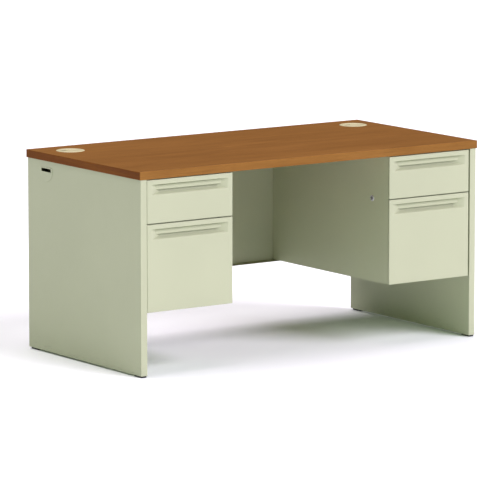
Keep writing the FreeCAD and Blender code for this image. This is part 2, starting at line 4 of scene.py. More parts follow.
import bmesh
import bpy
import numpy as np
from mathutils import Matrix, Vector


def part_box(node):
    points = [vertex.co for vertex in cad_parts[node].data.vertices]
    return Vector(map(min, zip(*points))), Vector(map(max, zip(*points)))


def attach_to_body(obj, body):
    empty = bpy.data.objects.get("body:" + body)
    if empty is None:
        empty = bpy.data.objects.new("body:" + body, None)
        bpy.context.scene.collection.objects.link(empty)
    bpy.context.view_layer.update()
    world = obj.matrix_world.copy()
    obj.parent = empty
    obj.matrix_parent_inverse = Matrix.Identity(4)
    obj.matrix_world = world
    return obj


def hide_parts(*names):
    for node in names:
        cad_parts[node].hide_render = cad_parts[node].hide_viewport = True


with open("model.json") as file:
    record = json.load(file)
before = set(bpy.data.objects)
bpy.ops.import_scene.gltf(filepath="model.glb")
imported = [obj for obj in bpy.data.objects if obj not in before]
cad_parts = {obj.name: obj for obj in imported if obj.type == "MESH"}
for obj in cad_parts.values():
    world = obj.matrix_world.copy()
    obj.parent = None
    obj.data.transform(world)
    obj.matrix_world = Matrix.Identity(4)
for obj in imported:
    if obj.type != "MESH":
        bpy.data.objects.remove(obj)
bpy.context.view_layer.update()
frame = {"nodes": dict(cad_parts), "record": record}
nodes = frame["nodes"]
scene = bpy.context.scene
MM = 0.001
SIDES = {"right": 1, "left": -1}
# A left-hand piece is the right-hand one mirrored, then moved by this: the pedestals aren't equally far out.
LEFT_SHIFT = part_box("left_box_drawer_front")[0].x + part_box("right_box_drawer_front")[1].x
BANDING = 0.003
DESK_HALF_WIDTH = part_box("worktop_core")[1].x + BANDING


# ---------------------------------------------------------------- materials
class Graph:
    """A material's node tree, with its Principled shader and object coordinates in metres."""

    def __init__(self, name, **constants):
        self.material = bpy.data.materials.new(name)
        self.material.use_nodes = True
        self.tree = self.material.node_tree
        self.shader = self.tree.nodes["Principled BSDF"]
        for socket, value in constants.items():
            self.shader.inputs[socket.replace("_", " ")].default_value = value
        self.coords = self.tree.nodes.new("ShaderNodeTexCoord").outputs["Object"]

    def node(self, kind, settings=None, **inputs):
        """A new node, with its settings and its inputs, which are values or other nodes' outputs."""
        made = self.tree.nodes.new("ShaderNode" + kind)
        for key, value in (settings or {}).items():
            setattr(made, key, value)
        for key, value in inputs.items():
            self.set(made.inputs[key.replace("_", " ")], value)
        return made

    def set(self, socket, value):
        """Links a socket to another node's output, or gives it a plain value."""
        if isinstance(value, bpy.types.NodeSocket):
            self.tree.links.new(value, socket)
        else:
            socket.default_value = value

    def stretched(self, x, y, z, offset=(0.0, 0.0, 0.0)):
        """The object coordinates, scaled along each axis."""
        made = self.node("Mapping", Vector=self.coords, Location=offset)
        made.inputs["Scale"].default_value = (x, y, z)
        return made.outputs["Vector"]

    def noise(self, vector, scale, detail=2.0, roughness=0.5, distortion=0.0):
        """Noise from 0 to 1, mostly near its middle."""
        made = self.node("TexNoise", Vector=vector, Scale=scale, Detail=detail, Roughness=roughness,
                         Distortion=distortion)
        return made.outputs["Fac"]

    def span(self, value, low, high, out_low, out_high):
        """A value's stretch from low to high, as one from out_low to out_high, held at its ends."""
        made = self.node("MapRange", Value=value)
        sockets = ("From Min", "From Max", "To Min", "To Max")
        for socket, number in zip(sockets, (low, high, out_low, out_high)):
            made.inputs[socket].default_value = number
        return made.outputs["Result"]

    def mix(self, factor, a, b):
        """Colour a where the factor is 0, and b where it is 1."""
        made = self.tree.nodes.new("ShaderNodeMix")
        made.data_type = "RGBA"
        # A Mix node has a set of sockets for each data type. These are the colour ones.
        factor_socket, a_socket, b_socket = made.inputs[0], made.inputs[6], made.inputs[7]
        self.set(factor_socket, factor)
        self.set(a_socket, a)
        self.set(b_socket, b)
        return made.outputs[2]

    def from_middle(self):
        """How far a point lies from the desk's middle plane, to either side."""
        reach = self.node("Math", {"operation": "ABSOLUTE"})
        self.set(reach.inputs[0], self.node("SeparateXYZ", Vector=self.coords).outputs["X"])
        return reach.outputs[0]

    def colour(self, value):
        self.set(self.shader.inputs["Base Color"], value)

    def rough(self, value):
        self.set(self.shader.inputs["Roughness"], value)

    def bump(self, height, strength, distance):
        """Relief that is too fine to model, such as orange peel, pores and drawn lines."""
        made = self.node("Bump", Height=height, Strength=strength, Distance=distance)
        self.set(self.shader.inputs["Normal"], made.outputs["Normal"])


def rgb(r, g, b):
    """An sRGB colour, 0 to 255, as linear RGBA."""
    def linear(c):
        c /= 255.0
        return c / 12.92 if c <= 0.04045 else ((c + 0.055) / 1.055) ** 2.4
    return (linear(r), linear(g), linear(b), 1.0)


def shade(colour, k):
    """A darker or lighter colour of the same hue."""
    return tuple(c * k for c in colour[:3]) + (1.0,)


SCUFF_HEIGHT = 0.07


def enamel(name, base, roughness=0.42):
    """Baked enamel on steel: orange peel, a slow change of tone, and scuffs near the floor."""
    g = Graph(name, Specular_IOR_Level=0.22)
    tone = g.noise(g.coords, 2.3, 3.0)
    body = g.mix(g.span(tone, 0.35, 0.65, 0.0, 1.0), shade(base, 0.975), shade(base, 1.02))
    speck = g.noise(g.coords, 420.0, 2.0)
    body = g.mix(g.span(speck, 0.6, 0.75, 0.0, 0.35), body, shade(base, 0.93))
    height = g.node("SeparateXYZ", Vector=g.coords).outputs["Z"]
    low = g.span(height, 0.0, SCUFF_HEIGHT, 1.0, 0.0)
    scuff = g.span(g.noise(g.stretched(9.0, 9.0, 55.0), 3.0, 6.0, 0.65, 0.4), 0.56, 0.7, 0.0, 0.5)
    wear = g.node("Math", {"operation": "MULTIPLY"})
    g.set(wear.inputs[0], low)
    g.set(wear.inputs[1], scuff)
    g.colour(g.mix(wear.outputs[0], body, shade(base, 0.55)))
    g.rough(g.span(g.noise(g.coords, 38.0, 4.0), 0.3, 0.7, roughness - 0.05, roughness + 0.06))
    g.bump(g.noise(g.coords, 650.0, 2.0), 0.12, 0.0004)
    return g.material


def grained(g, dark, light, along):
    """Wood figure, fine streaks and short pores, all running along one axis. Also gives the pores' height."""
    def grain(length, across, offset=0.0):
        scale = [across] * 3
        scale[along] = length
        return g.stretched(*scale, offset=(offset,) * 3)

    figure = g.noise(grain(0.9, 7.0), 1.6, 4.0, 0.55, 1.2)
    base = g.mix(g.span(figure, 0.3, 0.7, 0.0, 1.0), dark, light)
    streaks = g.noise(grain(2.2, 70.0, 3.1), 2.0, 6.0, 0.62, 0.25)
    base = g.mix(g.span(streaks, 0.42, 0.68, 0.0, 0.55), base, shade(dark, 0.74))
    pores = g.noise(grain(14.0, 520.0, 7.7), 1.5, 3.0, 0.5)
    return g.mix(g.span(pores, 0.6, 0.72, 0.0, 0.5), base, shade(dark, 0.5)), pores


def wood(name, dark, light):
    """Printed oak laminate, its grain running along the desk's width."""
    g = Graph(name, Specular_IOR_Level=0.2)
    colour, pores = grained(g, dark, light, 0)
    g.colour(colour)
    g.rough(g.span(pores, 0.4, 0.7, 0.5, 0.6))
    g.bump(pores, 0.15, -0.0002)
    return g.material


def banding(name, dark, light, shaded_side_dark, shaded_side_light, half_width):
    """Edge banding: its grain follows the strip, so it turns at the desk's sides, painted darker as shade."""
    g = Graph(name, Specular_IOR_Level=0.12)
    front, pores = grained(g, dark, light, 0)
    side, _ = grained(g, shaded_side_dark, shaded_side_light, 1)
    # Just inside the side's outer face, over half a millimetre, the colour turns to the side's painted shade.
    at_shaded_side = g.span(g.from_middle(), half_width - 0.0006, half_width - 0.0001, 0.0, 1.0)
    g.colour(g.mix(at_shaded_side, front, side))
    g.rough(0.6)
    g.bump(pores, 0.1, -0.0002)
    return g.material


def plastic(name, base, roughness, liner=None, edge=0.0):
    """Moulded plastic. A liner colour, painted shade, covers what is nearer the desk's middle than edge."""
    g = Graph(name, Specular_IOR_Level=0.4)
    tone = g.noise(g.coords, 14.0, 3.0)
    body = g.mix(g.span(tone, 0.3, 0.7, 0.0, 1.0), shade(base, 0.96), shade(base, 1.04))
    # Painted shade: inside the edge, the dark liner colour stands in for the shade in a hollow.
    if liner:
        body = g.mix(g.span(g.from_middle(), edge - 0.0002, edge, 0.0, 1.0), liner, body)
    g.colour(body)
    texture = g.node("TexVoronoi", Vector=g.coords, Scale=900.0).outputs["Distance"]
    g.rough(g.span(g.noise(g.coords, 60.0, 4.0), 0.3, 0.7, roughness - 0.04, roughness + 0.06))
    g.bump(texture, 0.2, 0.00015)
    return g.material


def zinc(name, base, roughness):
    """Plated steel: a faint spangle and fine drawn lines along the desk's depth."""
    g = Graph(name, Metallic=0.65)
    spangle = g.node("TexVoronoi", Vector=g.coords, Scale=140.0).outputs["Color"]
    level = g.node("RGBToBW", Color=spangle).outputs["Val"]
    lines = g.noise(g.stretched(900.0, 14.0, 900.0), 1.0, 3.0)
    base_mix = g.mix(g.span(level, 0.2, 0.8, 0.0, 1.0), shade(base, 0.9), shade(base, 1.06))
    g.colour(g.mix(g.span(lines, 0.4, 0.7, 0.0, 0.4), base_mix, shade(base, 0.8)))
    g.rough(g.span(lines, 0.3, 0.7, roughness - 0.06, roughness + 0.1))
    g.bump(lines, 0.08, 0.0001)
    return g.material


def chrome(name):
    """Satin nickel with light handling marks."""
    g = Graph(name, Metallic=0.6, Specular_IOR_Level=0.6)
    marks = g.noise(g.stretched(300.0, 60.0, 300.0), 2.0, 4.0)
    g.colour(g.mix(g.span(marks, 0.4, 0.7, 0.0, 1.0), rgb(226, 226, 232), rgb(208, 208, 216)))
    g.rough(g.span(marks, 0.3, 0.7, 0.2, 0.32))
    g.bump(marks, 0.04, 0.0001)
    return g.material


def chipboard(name):
    """Particle board's underside: packed flakes in three browns."""
    g = Graph(name, Specular_IOR_Level=0.2)
    flakes = g.node("TexVoronoi", Vector=g.stretched(1.0, 1.6, 1.0), Scale=330.0)
    level = g.node("RGBToBW", Color=flakes.outputs["Color"]).outputs["Val"]
    mixed = g.mix(g.span(level, 0.15, 0.85, 0.0, 1.0), rgb(142, 108, 70), rgb(196, 162, 116))
    g.colour(g.mix(g.span(g.noise(g.coords, 90.0, 4.0), 0.5, 0.7, 0.0, 0.5), mixed, rgb(118, 84, 52)))
    g.rough(0.8)
    g.bump(flakes.outputs["Distance"], 0.3, 0.0004)
    return g.material


PUTTY = rgb(180, 187, 155)
MATERIALS = {
    "board": chipboard("particle_board"),
    "laminate": wood("laminate_top", rgb(119, 80, 27), rgb(136, 94, 38)),
    # The side colours, darker than the front's, are painted shade on the desk's side faces.
    "edge_band": banding("edge_banding", rgb(132, 90, 36), rgb(147, 104, 47),
                         rgb(107, 58, 6), rgb(121, 70, 12), DESK_HALF_WIDTH),
    "putty_paint": enamel("putty_enamel", PUTTY),
    "drawer_paint": enamel("drawer_enamel", PUTTY, 0.4),
    "drawer_body_paint": enamel("drawer_body_enamel", shade(PUTTY, 0.95), 0.5),
    "zinc_steel": zinc("zinc_plate", rgb(190, 192, 190), 0.32),
    "lock_chrome": chrome("lock_nickel"),
    "putty_plastic": plastic("putty_plastic", rgb(192, 189, 146), 0.45),
    "black_plastic": plastic("black_plastic", rgb(30, 30, 31), 0.5),
}
# Painted shade: a near-black colour for the keyway piece, standing in for the shadow inside the slot.
KEYWAY_SHADE = plastic("keyway_painted_shade", rgb(24, 24, 26), 0.6)
# Painted shade: the port's sleeve and slot, inside the panel's outer face, are dark as if shadowed.
PORT = plastic("port_plastic", PUTTY, 0.5, liner=rgb(38, 42, 22),
               edge=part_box("right_end_panel_outer")[1].x)


# ---------------------------------------------------------------- mesh helpers
# Edges that turn by more than this many degrees look sharp.
SHARP = 35.0
# Points nearer than this are one point, and shorter edges than this are none.
SAME_PLACE = 1e-6
NO_LENGTH = 1e-7


def finish_mesh(name, verts, faces, side=1, sharp=SHARP):
    """A linked mesh object. A left-hand pedestal's piece is the right-hand one, mirrored and shifted."""
    if side < 0:
        verts = [(LEFT_SHIFT - x, y, z) for x, y, z in verts]
        faces = [tuple(reversed(f)) for f in faces]
    mesh = bpy.data.meshes.new(name)
    mesh.from_pydata([tuple(v) for v in verts], [], faces)
    bm = bmesh.new()
    bm.from_mesh(mesh)
    bmesh.ops.remove_doubles(bm, verts=bm.verts, dist=SAME_PLACE)
    bmesh.ops.dissolve_degenerate(bm, edges=bm.edges, dist=NO_LENGTH)
    bmesh.ops.delete(bm, geom=[e for e in bm.edges if not e.link_faces], context="EDGES")
    bm.to_mesh(mesh)
    bm.free()
    for polygon in mesh.polygons:
        polygon.use_smooth = True
    mesh.set_sharp_from_angle(angle=math.radians(sharp))
    obj = bpy.data.objects.new(name, mesh)
    scene.collection.objects.link(obj)
    return obj


def attach(obj, body, slot, replaced=(), material=None):
    """Gives a piece its material and its body, and hides the CAD nodes that it stands for."""
    obj.data.materials.append(material or MATERIALS[slot])
    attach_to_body(obj, body)
    if replaced:
        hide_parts(*replaced)
    return obj


def bevelled(obj, width, segments=2, angle=30.0):
    """Rounds a mesh's edges, as a bend or a moulded edge is."""
    made = obj.modifiers.new("bevel", "BEVEL")
    made.width, made.segments, made.limit_method = width, segments, "ANGLE"
    made.angle_limit = math.radians(angle)
    made.use_clamp_overlap = True
    normal = obj.modifiers.new("normals", "WEIGHTED_NORMAL")
    normal.keep_sharp = False
    normal.weight = 60


CAD_WELD = 1e-5
CAD_BEVEL = 0.0006
# Faces that turn by less than this many degrees are joined up, so that the bevel runs along whole edges.
CAD_FLAT = 0.6
# Their bevel folds faces over when flat faces with holes or many corners are joined up first.
KEPT_SPLIT = ("end_panel_outer", "pedestal_bottom", "pencil_tray", "cable_port")


def dress(node, material=None):
    """A CAD node keeps its shape, and gets its material and rounded edges."""
    obj = nodes[node]
    slot = next(s["material_slot"] for s in frame["record"]["subparts"] if s["node"] == node)
    for held in obj.material_slots:
        held.material = material or MATERIALS[slot]
    weld = obj.modifiers.new("weld", "WELD")
    weld.merge_threshold = CAD_WELD
    if not node.endswith(KEPT_SPLIT):
        flat = obj.modifiers.new("flat", "DECIMATE")
        flat.decimate_type, flat.angle_limit = "DISSOLVE", math.radians(CAD_FLAT)
    bevelled(obj, CAD_BEVEL)


def rounded(path, radius, steps):
    """A 2-D path with its inner corners turned into curves, which take less than half of each leg."""
    out = [Vector(path[0])]
    for before, corner, after in zip(path, path[1:], path[2:]):
        corner, a, b = Vector(corner), Vector(before), Vector(after)
        u, v = (a - corner).normalized(), (b - corner).normalized()
        turn = u.angle(v)
        shortest = min((a - corner).length, (b - corner).length)
        reach = min(radius / math.tan(turn / 2), 0.48 * shortest)
        start, end = corner + u * reach, corner + v * reach
        for k in range(steps + 1):
            t = k / steps
            out.append(start * (1 - t) ** 2 + corner * 2 * t * (1 - t) + end * t ** 2)
    out.append(Vector(path[-1]))
    return out


def sheet_outline(path, thickness):
    """The closed outline of a bent sheet, from its middle line."""
    near, far = [], []
    for k, p in enumerate(path):
        a = path[max(k - 1, 0)]
        b = path[min(k + 1, len(path) - 1)]
        along = (b - a).normalized()
        across = Vector((-along.y, along.x)) * thickness / 2
        near.append(p + across)
        far.append(p - across)
    return near + far[::-1]


def extruded(name, outline, x0, x1, side):
    """A (y, z) outline pushed from x0 to x1, with its ends closed."""
    n = len(outline)
    verts = [(x0, p[0], p[1]) for p in outline] + [(x1, p[0], p[1]) for p in outline]
    faces = [(k, (k + 1) % n, n + (k + 1) % n, n + k) for k in range(n)]
    faces += [tuple(range(n))[::-1], tuple(range(n, 2 * n))]
    obj = finish_mesh(name, verts, faces, side)
    outward(obj)
    return obj


def outward(obj):
    """Turns all of a closed mesh's faces to point out of it."""
    bm = bmesh.new()
    bm.from_mesh(obj.data)
    bmesh.ops.recalc_face_normals(bm, faces=bm.faces)
    bm.to_mesh(obj.data)
    bm.free()


def turned(name, profile, centre, axis, steps, side=1, sharp=SHARP):
    """A (radius, along) profile turned about an axis through centre. The profile is closed."""
    u = Vector((0, 0, 1)) if abs(axis[2]) < 0.5 else Vector((1, 0, 0))
    axis = Vector(axis)
    v = axis.cross(u)
    verts, faces = [], []
    n = len(profile)
    for k in range(steps):
        a = 2 * math.pi * k / steps
        ray = u * math.cos(a) + v * math.sin(a)
        verts += [tuple(Vector(centre) + ray * r + axis * h) for r, h in profile]
    for k in range(steps):
        for i in range(n):
            j = (i + 1) % n
            faces.append((k * n + i, k * n + j, (k + 1) % steps * n + j, (k + 1) % steps * n + i))
    obj = finish_mesh(name, verts, faces, side, sharp)
    outward(obj)
    return obj


# ---------------------------------------------------------------- drawer fronts
SHEET = 0.8 * MM
LINER_SHEET = 1.0 * MM
EDGE_R = 1.8 * MM
RETURN = 6 * MM
# The pull's pocket: its place in from the front's outline, and the runs over which its walls sink.
PULL = {"side": 18 * MM, "slant": 2 * MM, "top": 18 * MM, "bottom": 54 * MM, "depth": 20 * MM,
        "side_run": 45 * MM, "top_run": 1.5 * MM, "bottom_run": 8 * MM}
# How far each wall's two bends are eased.
SOFT = {"side": 3 * MM, "top": 0.8 * MM, "bottom": 2.2 * MM}
# Where the mesh of the front gets finer, and the sizes of its cells there.
SIDE_BEND = (10 * MM, PULL["side"] + PULL["slant"] + PULL["side_run"] + 4 * MM)
TOP_BEND = (4 * MM, 1.5 * MM)
BOTTOM_BEND = (3 * MM, 11 * MM)
CELL = {"side": 2 * MM, "top": 0.4 * MM, "bottom": 0.75 * MM, "middle": 3 * MM}
COARSE_PLACES = 13
CLOSEST_PLACES = 1.2e-4
# The pull's lip: a strip that hangs down inside the pocket, hemmed at its lower edge.
LIP_SET = 11 * MM
LIP_T = 1.5 * MM
LIP_H = 19.5 * MM
LIP_HEM = 3.5 * MM
LIP_DROP = 1.7 * MM
LIP_END = 42 * MM
LIP_BEND = 1.6 * MM
LIP_BEVEL = 0.0003
# The liner's pan, in from the front's outline, and its brim.
LINER_IN = 14.5 * MM
LINER_LOW = 20 * MM
LINER_HIGH = 15.5 * MM
BRIM = 12.0 * MM
BRIM_FORWARD = 1 * MM
BACK_GAP = 0.5 * MM
LINER_BEVEL = 0.0009
EASE_STEPS = 4


def eased(distance, run, soft):
    """0 before a wall, 1 past its run, with both of its bends eased: the mean of some shifted ramps."""
    total = 0.0
    for k in range(-EASE_STEPS, EASE_STEPS + 1):
        total = total + np.clip((distance + k / EASE_STEPS * soft) / run, 0.0, 1.0)
    return total / (2 * EASE_STEPS + 1)


def stations(low, high, features):
    """Sorted places from low to high: coarse, with a finer run (from, to, step) at each feature."""
    places = set(np.linspace(low, high, COARSE_PLACES))
    for start, stop, step in features:
        past_end = min(stop, high) + 1e-9
        places |= set(np.arange(max(start, low), past_end, step))
    edge = [EDGE_R * (1 - math.sin(math.radians(a))) for a in range(0, 91, 18)]
    places |= {low + e for e in edge} | {high - e for e in edge}
    ordered, last = [], None
    for p in sorted(places):
        if last is None or p - last > CLOSEST_PLACES:
            ordered.append(p)
            last = p
    ordered[-1] = high
    return np.array(ordered)


def pressed_face(name, x0, x1, y0, z0, z1, side):
    """The front's steel sheet, with its recessed pull pressed in and its edges folded back."""
    top, bottom = z1 - PULL["top"], z1 - PULL["bottom"]
    near, far = SIDE_BEND
    xs = stations(x0, x1, [(x0 + near, x0 + far, CELL["side"]), (x1 - far, x1 - near, CELL["side"])])
    middle = (bottom + BOTTOM_BEND[1], top - TOP_BEND[0])
    zs = stations(z0, z1, [(middle[1], top + TOP_BEND[1], CELL["top"]),
                           (bottom - BOTTOM_BEND[0], middle[0], CELL["bottom"]),
                           (middle[0], middle[1], CELL["middle"])])
    gx, gz = np.meshgrid(xs, zs, indexing="ij")
    lean = PULL["slant"] * np.clip((top - gz) / (top - bottom), 0, 1)
    left, right = gx - (x0 + PULL["side"] + lean), (x1 - PULL["side"] - lean) - gx
    walls = [eased(top - gz, PULL["top_run"], SOFT["top"]),
             eased(gz - bottom, PULL["bottom_run"], SOFT["bottom"]),
             eased(left, PULL["side_run"], SOFT["side"]),
             eased(right, PULL["side_run"], SOFT["side"])]
    depth = PULL["depth"] * np.minimum.reduce(walls)
    ex = np.clip(EDGE_R - np.minimum(gx - x0, x1 - gx), 0, EDGE_R)
    ez = np.clip(EDGE_R - np.minimum(gz - z0, z1 - gz), 0, EDGE_R)
    gone = np.minimum(ex ** 2 + ez ** 2, EDGE_R ** 2)
    gy = y0 + depth + EDGE_R - np.sqrt(EDGE_R ** 2 - gone)
    # One more row all round folds the edges back.
    gx, gy, gz = (np.pad(a, 1, mode="edge") for a in (gx, gy, gz))
    gy[0, :] = gy[-1, :] = gy[:, 0] = gy[:, -1] = y0 + RETURN
    ni, nj = gx.shape
    verts = list(zip(gx.ravel(), gy.ravel(), gz.ravel()))
    faces = []
    for i in range(ni - 1):
        for j in range(nj - 1):
            at_corner = i in (0, ni - 2) and j in (0, nj - 2)
            if not at_corner:
                faces.append((i * nj + j, (i + 1) * nj + j, (i + 1) * nj + j + 1, i * nj + j + 1))
    obj = finish_mesh(name, verts, faces, side, sharp=50.0)
    skin = obj.modifiers.new("sheet", "SOLIDIFY")
    skin.thickness, skin.offset = SHEET, -1.0
    return obj


def liner(name, x0, x1, y0, y1, z0, z1, side):
    """The pan that closes the front's back, with a brim that meets the face's folded edges."""
    hole = (x0, x1, z0, z1)
    brim = (x0 - BRIM, x1 + BRIM, z0 - BRIM, z1 + BRIM)
    rings = [(brim, y0 - BRIM_FORWARD), (hole, y0 - BRIM_FORWARD), (hole, y1)]
    verts = []
    for (a, b, c, d), y in rings:
        verts += [(a, y, c), (b, y, c), (b, y, d), (a, y, d)]
    faces = []
    for ring in range(len(rings) - 1):
        for k in range(4):
            p, q = ring * 4 + k, ring * 4 + (k + 1) % 4
            faces.append((p, q, q + 4, p + 4))
    last = 4 * (len(rings) - 1)
    faces.append((last, last + 1, last + 2, last + 3))
    obj = finish_mesh(name, verts, faces, side)
    skin = obj.modifiers.new("sheet", "SOLIDIFY")
    skin.thickness, skin.offset = LINER_SHEET, 0.0
    bevelled(obj, LINER_BEVEL, segments=3)
    return obj


def drawer_front(side_name, level):
    """A drawer's front in the place of the CAD one: its face, the pull's lip and the liner behind."""
    side = SIDES[side_name]
    lo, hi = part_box(f"right_{level}_drawer_front")
    body, stem = f"{side_name}_{level}_drawer", f"{side_name}_{level}"
    face = pressed_face(f"{stem}_front_face", lo.x, hi.x, lo.y, lo.z, hi.z, side)
    attach(face, body, "drawer_paint", [f"{stem}_drawer_front"])
    top = hi.z - PULL["top"]
    y = lo.y + LIP_SET + LIP_T / 2
    roof = top - LIP_DROP - LIP_T / 2
    low = top - LIP_H + LIP_T / 2
    corners = [(lo.y + PULL["depth"], roof), (y, roof), (y, low), (lo.y + LIP_SET + LIP_HEM, low)]
    path = rounded(corners, LIP_BEND, steps=5)
    lip = extruded(f"{stem}_pull_lip", sheet_outline(path, LIP_T), lo.x + LIP_END, hi.x - LIP_END, side)
    bevelled(lip, LIP_BEVEL, angle=50.0)
    attach(lip, body, "drawer_paint")
    pan = liner(f"{stem}_front_liner", lo.x + LINER_IN, hi.x - LINER_IN, lo.y + RETURN, hi.y - BACK_GAP,
                lo.z + LINER_LOW, hi.z - LINER_HIGH, side)
    attach(pan, body, "drawer_body_paint")


# ---------------------------------------------------------------- grommets
FLANGE_T = 2.0 * MM
SLEEVE_IN = 38.0 * MM
SLEEVE_OUT = 43.8 * MM
SEAT_R = 40.4 * MM
SEAT_DROP = 3.0 * MM
CAP_R = 40.0 * MM
NOTCH_R = 9.0 * MM
NOTCH_REACH = 24.0 * MM
CAP_STEPS = 96
NOTCH_STEPS = 16
# The point that the cap's outline shrinks towards, away from the notch.
CAP_MIDDLE = 8.0 * MM
# The cap's rim stands a little above its dished middle: a scale about that point, and a drop from its top.
CAP_LEVELS = ((1.0, 0.5 * MM), (0.985, 0.0), (0.93, 0.0), (0.9, 0.6 * MM))


def grommet_ring(side_name):
    """The flange on the worktop and its sleeve, from the sleeve's inside over the rim and down outside."""
    lo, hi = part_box(f"{side_name}_grommet_ring")
    centre = Vector(((lo.x + hi.x) / 2, (lo.y + hi.y) / 2, 0))
    top, flange = hi.z, hi.z - FLANGE_T
    rim = (hi.x - lo.x) / 2
    seat = [(SLEEVE_IN, lo.z), (SLEEVE_IN, top - SEAT_DROP), (SEAT_R, top - SEAT_DROP),
            (SEAT_R + 0.1 * MM, top - 0.5 * MM), (SEAT_R + 0.4 * MM, top - 0.1 * MM)]
    crown = [(SEAT_R + 1.0 * MM, top), (rim - 6.5 * MM, top - 0.05 * MM), (rim - 3.0 * MM, top - 0.45 * MM)]
    outside = [(rim - 0.8 * MM, top - 1.1 * MM), (rim, flange + 0.2 * MM), (rim, flange),
               (SLEEVE_OUT, flange), (SLEEVE_OUT, lo.z)]
    section = seat + crown + outside
    ring = turned(f"{side_name}_grommet_flange", section, centre, (0, 0, 1), steps=CAP_STEPS)
    attach(ring, "desk", "putty_plastic", [f"{side_name}_grommet_ring"])
    return centre


def cap_outline():
    """A disc about the origin, with a round-ended notch for cables on its left."""
    start = math.asin(NOTCH_R / CAP_R)
    outline = []
    for k in range(CAP_STEPS + 1):
        a = math.pi + start + (2 * math.pi - 2 * start) * k / CAP_STEPS
        outline.append((CAP_R * math.cos(a), CAP_R * math.sin(a)))
    for k in range(NOTCH_STEPS + 1):
        a = math.pi / 2 - math.pi * k / NOTCH_STEPS
        outline.append((-NOTCH_REACH + NOTCH_R * math.cos(a), NOTCH_R * math.sin(a)))
    return outline


def grommet(side_name):
    """The ring, and the cap that turns in it."""
    centre = grommet_ring(side_name)
    low, high = (corner.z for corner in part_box(f"{side_name}_grommet_cap"))
    outline = cap_outline()
    n = len(outline)
    verts, faces = [], []
    middle = Vector((CAP_MIDDLE, 0))
    levels = [(1.0, low)] + [(scale, high - drop) for scale, drop in CAP_LEVELS]
    for scale, z in levels:
        for x, y in outline:
            p = middle + (Vector((x, y)) - middle) * scale
            verts.append((centre.x + p.x, centre.y + p.y, z))
    for level in range(len(levels) - 1):
        for k in range(n):
            a, b = level * n + k, level * n + (k + 1) % n
            faces.append((a, b, b + n, a + n))
    faces.append(tuple(range(n))[::-1])
    faces.append(tuple(range((len(levels) - 1) * n, len(levels) * n)))
    cap = finish_mesh(f"{side_name}_grommet_lid", verts, faces)
    outward(cap)
    attach(cap, f"{side_name}_grommet_cap", "putty_plastic", [f"{side_name}_grommet_cap"])


# ---------------------------------------------------------------- locks
LOCK_DEPTH = 9.0 * MM
RIM_T = 2.5 * MM
NECK_R = 9.5 * MM
BORE_R = 6.55 * MM
PLUG_R = 6.45 * MM
PLUG_CROWN = 0.2 * MM
KEY_HALF_W = 1.1 * MM
KEY_HALF_H = 4.1 * MM
KEY_PROUD = 0.02 * MM
KEY_DEPTH = 1.0 * MM


def lock(side_name):
    """A cylinder lock in the pedestal's inner side: its ring, and the plug and keyway that turn."""
    side = SIDES[side_name]
    lo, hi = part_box("right_lock_cylinder")
    centre = (lo.x, (lo.y + hi.y) / 2, (lo.z + hi.z) / 2)
    r = (hi.y - lo.y) / 2
    profile = [(BORE_R, 0.5 * MM), (7.2 * MM, 0.1 * MM), (r - 2.2 * MM, 0.0), (r - 0.9 * MM, 0.35 * MM),
               (r - 0.1 * MM, 1.3 * MM), (r, RIM_T), (NECK_R, RIM_T), (NECK_R, LOCK_DEPTH),
               (BORE_R, LOCK_DEPTH)]
    ring = turned(f"{side_name}_lock_ring", profile, centre, (1, 0, 0), steps=64, side=side)
    attach(ring, "desk", "lock_chrome", [f"{side_name}_lock_cylinder"])
    plug_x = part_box("right_lock_plug")[0].x
    face = [(0.0, -PLUG_CROWN), (5.2 * MM, -PLUG_CROWN), (6.0 * MM, 0.0), (PLUG_R, 0.5 * MM),
            (PLUG_R, LOCK_DEPTH), (0.0, LOCK_DEPTH)]
    front = (plug_x + PLUG_CROWN, centre[1], centre[2])
    plug = turned(f"{side_name}_lock_plug_face", face, front, (1, 0, 0), steps=48, side=side)
    attach(plug, f"{side_name}_lock_plug", "lock_chrome")
    w, h = KEY_HALF_W, KEY_HALF_H
    x = plug_x - KEY_PROUD
    # A straight slot with one ward biting into each side, as a thin black piece: painted shade for the slot's
    # depth.
    right_ward = [(w, -0.6 * MM), (w * 0.5, 0), (w, 0.8 * MM)]
    left_ward = [(-w, 1.0 * MM), (-w * 0.4, 0.2 * MM), (-w, -0.8 * MM)]
    key = [(-w, -h), (w, -h)] + right_ward + [(w, h), (-w, h)] + left_ward
    outline = [(centre[1] + a, centre[2] + b) for a, b in key]
    keyway = extruded(f"{side_name}_lock_keyway", outline, x, x + KEY_DEPTH, side)
    attach(keyway, f"{side_name}_lock_plug", "black_plastic", material=KEYWAY_SHADE)


# ---------------------------------------------------------------- glides
# In mm: the pad's section from the floor up, and the threaded stem.
PAD = ((0.0, 0.0), (7.6, 0.0), (8.6, 0.4), (9.0, 1.1), (8.8, 1.6), (8.0, 2.0))
STEM_R = 4.0
STEM_ROOT_R = 3.5
STEM_PITCH = 1.5
STEM_TURNS = 9


def glide(side_name, place):
    """A levelling glide: a rounded pad on a threaded stem."""
    node = f"{side_name}_{place}_glide"
    lo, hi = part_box(node)
    centre = ((lo.x + hi.x) / 2, (lo.y + hi.y) / 2, 0.0)
    profile = list(PAD) + [(STEM_R, 2.0), (STEM_R, 3.0)]
    for k in range(STEM_TURNS):
        profile += [(STEM_R, 3.2 + STEM_PITCH * k), (STEM_ROOT_R, 3.9 + STEM_PITCH * k)]
    profile += [(STEM_R, 16.9), (3.4, 17.0), (0.0, 17.0)]
    obj = turned(node + "_screw", [(a * MM, b * MM) for a, b in profile], centre, (0, 0, 1), steps=40)
    attach(obj, "desk", "black_plastic", [node])


